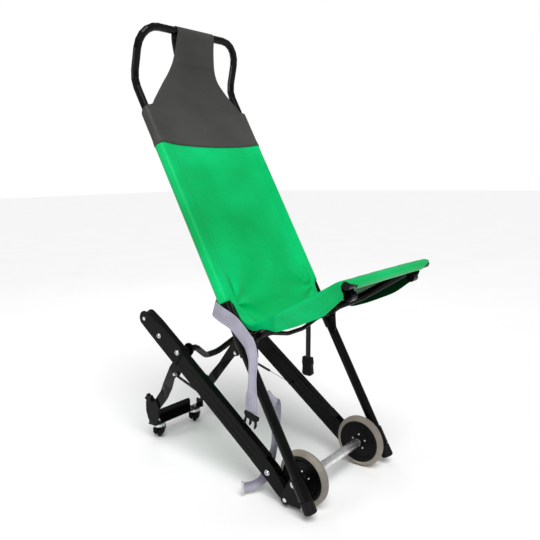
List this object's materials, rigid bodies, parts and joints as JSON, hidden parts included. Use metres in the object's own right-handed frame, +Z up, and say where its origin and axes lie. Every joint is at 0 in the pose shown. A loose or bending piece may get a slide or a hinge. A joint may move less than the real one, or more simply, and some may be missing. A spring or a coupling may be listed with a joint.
{
  "type": "stair chair",
  "caption": "Folding evacuation stair chair: leaning tube frame with a fabric sling and seat, front wheels, sloping belt tracks and a folding castor leg behind, with a hanging lap belt.",
  "frame": {"origin": "on the floor, under the middle of the chair's bounding box", "axes": "+Z up, -Y is the way the sitter faces, +X is the sitter's left; metres"},
  "size_m": [0.4906, 0.958, 1.461],
  "materials": {
    "zinc": "bright zinc plate",
    "aluminium": "satin",
    "black_plastic": "moulded black",
    "black_paint": "gloss black powder coat",
    "rubber": "black rubber",
    "webbing": "woven grey webbing",
    "nylon": "natural nylon",
    "spring_steel": "dark oiled steel",
    "green_sling": "green coated fabric, slight gloss",
    "grey_sling": "grey coated fabric",
    "black_track": "satin black, ribbed",
    "tyre_grey": "smooth grey tyre rubber"
  },
  "bodies": {
    "main_frame": {"upright_left": "black_paint", "upright_right": "black_paint", "handle_bar": "black_paint", "foot_cap_left": "rubber", "foot_cap_right": "rubber", "foot_bracket_left": "black_paint", "foot_bracket_right": "black_paint", "axle_tube": "aluminium", "axle_rod": "zinc", "seat_bracket_left": "black_paint", "seat_bracket_right": "black_paint", "seat_pivot_bolt_left": "zinc", "seat_pivot_bolt_right": "zinc", "track_pivot_bolt_left": "zinc", "track_pivot_bolt_right": "zinc", "sling_back": "green_sling", "sling_head": "grey_sling", "sling_neck": "grey_sling", "lap_strap_right": "webbing", "lap_strap_left": "webbing", "lap_strap_tail": "webbing", "buckle_tongue": "black_plastic", "buckle_socket": "black_plastic", "strap_tip_clip": "zinc"},
    "seat": {"seat_frame": "black_paint", "sling_seat": "green_sling"},
    "tracks": {"track_channel_left": "black_track", "track_channel_right": "black_track", "track_head_left": "black_paint", "track_head_right": "black_paint", "track_foot_left": "black_paint", "track_foot_right": "black_paint", "track_belt_left": "rubber", "track_belt_right": "rubber", "spreader_tube": "black_paint", "nose_bolt_left": "zinc", "nose_bolt_right": "zinc", "return_spring_left": "spring_steel", "return_spring_right": "spring_steel"},
    "leg": {"leg_arm_left": "black_paint", "leg_arm_right": "black_paint", "leg_side_plate_left": "black_plastic", "leg_side_plate_right": "black_plastic", "castor_carriage": "black_paint", "spring_bolt_left": "zinc", "spring_bolt_right": "zinc", "castor_housing_left": "zinc", "castor_housing_right": "zinc"},
    "wheel_left": {"wheel_hub_left": "black_plastic", "wheel_tyre_left": "tyre_grey"},
    "castor_left": {"castor_fork_left": "black_plastic"},
    "castor_roller_left": {"castor_wheel_left": "rubber"},
    "upper_roller_left": {"upper_pulley_left": "nylon"},
    "lower_roller_left": {"lower_pulley_left": "nylon"},
    "wheel_right": {"wheel_hub_right": "black_plastic", "wheel_tyre_right": "tyre_grey"},
    "castor_right": {"castor_fork_right": "black_plastic"},
    "castor_roller_right": {"castor_wheel_right": "rubber"},
    "upper_roller_right": {"upper_pulley_right": "nylon"},
    "lower_roller_right": {"lower_pulley_right": "nylon"}
  },
  "joints": [
    {"name": "seat_fold", "type": "hinge", "parent": "main_frame", "child": "seat", "pos_m": [0, -0.1327, 0.4976], "axis": [-1, 0, 0], "range_deg": [0, 70]},
    {"name": "track_fold", "type": "hinge", "parent": "main_frame", "child": "tracks", "pos_m": [0, -0.2424, 0.02726], "axis": [1, 0, 0], "range_deg": [0, 23]},
    {"name": "leg_fold", "type": "hinge", "parent": "tracks", "child": "leg", "pos_m": [0, 0.20224, 0.39709], "axis": [-1, 0, 0], "range_deg": [0, 70], "deforming": ["return_spring_left", "return_spring_right"]},
    {"name": "wheel_spin_left", "type": "hinge", "parent": "main_frame", "child": "wheel_left", "pos_m": [0.1616, -0.2755, 0.0857], "axis": [1, 0, 0], "continuous": true},
    {"name": "castor_swivel_left", "type": "hinge", "parent": "leg", "child": "castor_left", "pos_m": [0.0918, 0.4454, 0.05], "axis": [0, 0, 1], "continuous": true},
    {"name": "castor_spin_left", "type": "hinge", "parent": "castor_left", "child": "castor_roller_left", "pos_m": [0.09724, 0.44981, 0.0195], "axis": [0.6293, -0.7771, 0], "continuous": true},
    {"name": "upper_pulley_spin_left", "type": "hinge", "parent": "tracks", "child": "upper_roller_left", "pos_m": [0.192, 0.35781, 0.49206], "axis": [1, 0, 0], "continuous": true},
    {"name": "lower_pulley_spin_left", "type": "hinge", "parent": "tracks", "child": "lower_roller_left", "pos_m": [0.192, -0.2424, 0.02726], "axis": [1, 0, 0], "continuous": true},
    {"name": "wheel_spin_right", "type": "hinge", "parent": "main_frame", "child": "wheel_right", "pos_m": [-0.1616, -0.2755, 0.0857], "axis": [1, 0, 0], "continuous": true},
    {"name": "castor_swivel_right", "type": "hinge", "parent": "leg", "child": "castor_right", "pos_m": [-0.0918, 0.4454, 0.05], "axis": [0, 0, 1], "continuous": true},
    {"name": "castor_spin_right", "type": "hinge", "parent": "castor_right", "child": "castor_roller_right", "pos_m": [-0.08636, 0.44981, 0.0195], "axis": [0.6293, -0.7771, 0], "continuous": true},
    {"name": "upper_pulley_spin_right", "type": "hinge", "parent": "tracks", "child": "upper_roller_right", "pos_m": [-0.192, 0.35781, 0.49206], "axis": [1, 0, 0], "continuous": true},
    {"name": "lower_pulley_spin_right", "type": "hinge", "parent": "tracks", "child": "lower_roller_right", "pos_m": [-0.192, -0.2424, 0.02726], "axis": [1, 0, 0], "continuous": true}
  ],
  "couplings": [
    {"joint": "lower_pulley_spin_left", "follows": "upper_pulley_spin_left", "ratio": 1.25},
    {"joint": "lower_pulley_spin_right", "follows": "upper_pulley_spin_right", "ratio": 1.25}
  ]
}
